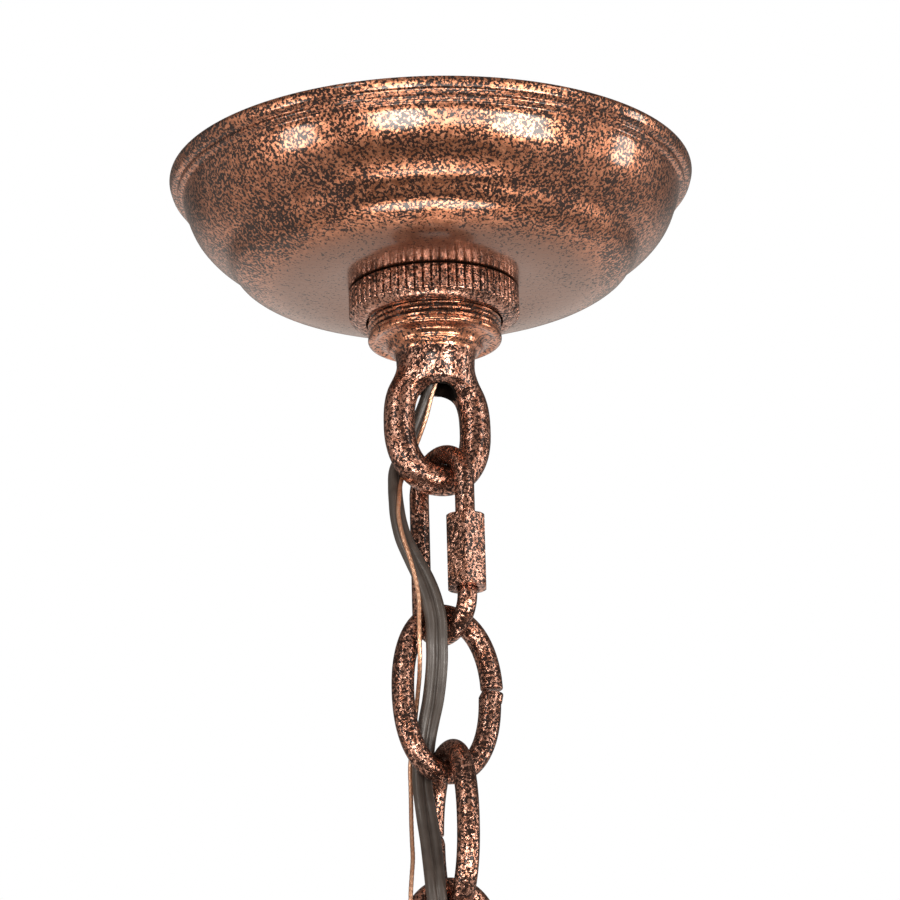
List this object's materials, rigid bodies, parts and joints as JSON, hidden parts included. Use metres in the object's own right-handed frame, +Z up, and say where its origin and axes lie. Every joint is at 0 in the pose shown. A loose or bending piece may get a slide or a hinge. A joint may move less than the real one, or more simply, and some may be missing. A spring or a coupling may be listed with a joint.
{
  "type": "lantern ceiling canopy and chain",
  "caption": "Round domed ceiling canopy with a knurled collar ring, a cast loop, a quick link and an oval chain that carries a flat lamp cord down to a lantern's top loop.",
  "frame": {"origin": "on the chain's axis in the plane of the ceiling, which is the plane of the canopy's rim", "axes": "+Z up to the ceiling, +X along the mounting bar and the plane of the ceiling loop"},
  "size_m": [0.127, 0.127, 0.2572],
  "materials": {
    "antique_copper": "antiqued copper plate with dense black speckles under a clear coat",
    "copper_wire_finish": "antiqued copper plate on bent wire, blotched black, glossy",
    "zinc_steel": "zinc-plated pressed steel, dull",
    "brass": "turned brass, slightly dulled",
    "bare_copper": "stranded copper in a clear jacket",
    "cord_jacket": "dark grey-brown translucent PVC, glossy",
    "connector_plastic": "moulded plastic, ribbed",
    "ground_green": "green-dyed zinc plate"
  },
  "bodies": {
    "ceiling_fitting": {"mounting_bar": "zinc_steel", "threaded_nipple": "brass", "bar_locknut": "brass", "lock_washer": "zinc_steel", "jam_nut": "brass", "box_screw_left": "brass", "box_screw_right": "brass", "ground_screw": "ground_green", "ceiling_loop": "antique_copper", "line_lead": "cord_jacket", "neutral_lead": "cord_jacket", "line_connector": "connector_plastic", "neutral_connector": "connector_plastic", "lamp_cord_1": "cord_jacket", "ground_wire_1": "bare_copper"},
    "canopy": {"canopy": "antique_copper"},
    "collar_ring": {"collar_ring": "antique_copper"},
    "quick_link": {"quick_link": "copper_wire_finish", "lamp_cord_2": "cord_jacket", "ground_wire_2": "bare_copper"},
    "quick_link_sleeve": {"quick_link_sleeve": "copper_wire_finish"},
    "chain_link_1": {"chain_link_1": "copper_wire_finish", "lamp_cord_3": "cord_jacket", "ground_wire_3": "bare_copper"},
    "chain_link_2": {"chain_link_2": "copper_wire_finish", "lamp_cord_4": "cord_jacket", "ground_wire_4": "bare_copper"},
    "chain_link_3": {"chain_link_3": "copper_wire_finish", "lamp_cord_5": "cord_jacket", "ground_wire_5": "bare_copper"},
    "lantern_loop": {"lantern_loop": "antique_copper"}
  },
  "joints": [
    {"name": "canopy_drop", "type": "slide", "parent": "ceiling_fitting", "child": "canopy", "axis": [0, 0, -1], "range_m": [0, 0.0113]},
    {"name": "ring_turn", "type": "hinge", "parent": "canopy", "child": "collar_ring", "pos_m": [0, 0, -0.034], "axis": [0, 0, -1], "range_deg": [0, 2880]},
    {"name": "quick_link_swing", "type": "hinge", "parent": "ceiling_fitting", "child": "quick_link", "pos_m": [0, 0.0003, -0.0784], "axis": [1, 0, 0], "range_deg": [-28, 30], "deforming": ["lamp_cord_1", "ground_wire_1"]},
    {"name": "sleeve_slide", "type": "slide", "parent": "quick_link", "child": "quick_link_sleeve", "axis": [0, 0, 1], "range_m": [0, 0.009]},
    {"name": "link_1_swing", "type": "hinge", "parent": "quick_link", "child": "chain_link_1", "pos_m": [0.0008, 0, -0.11765], "axis": [0, 1, 0], "range_deg": [-30, 30], "deforming": ["lamp_cord_2", "ground_wire_2"]},
    {"name": "link_2_swing", "type": "hinge", "parent": "chain_link_1", "child": "chain_link_2", "pos_m": [0, 0, -0.15165], "axis": [1, 0, 0], "range_deg": [-30, 30], "deforming": ["lamp_cord_3", "ground_wire_3"]},
    {"name": "link_3_swing", "type": "hinge", "parent": "chain_link_2", "child": "chain_link_3", "pos_m": [0.001, 0, -0.1853], "axis": [0, 1, 0], "range_deg": [-30, 30], "deforming": ["lamp_cord_4", "ground_wire_4"]},
    {"name": "lantern_loop_swing", "type": "hinge", "parent": "chain_link_3", "child": "lantern_loop", "pos_m": [0, 0, -0.21895], "axis": [1, 0, 0], "range_deg": [-30, 30], "deforming": ["lamp_cord_5", "ground_wire_5"]}
  ],
  "couplings": [
    {"joint": "canopy_drop", "follows": "ring_turn", "m_per_rad": 0.00022441}
  ]
}
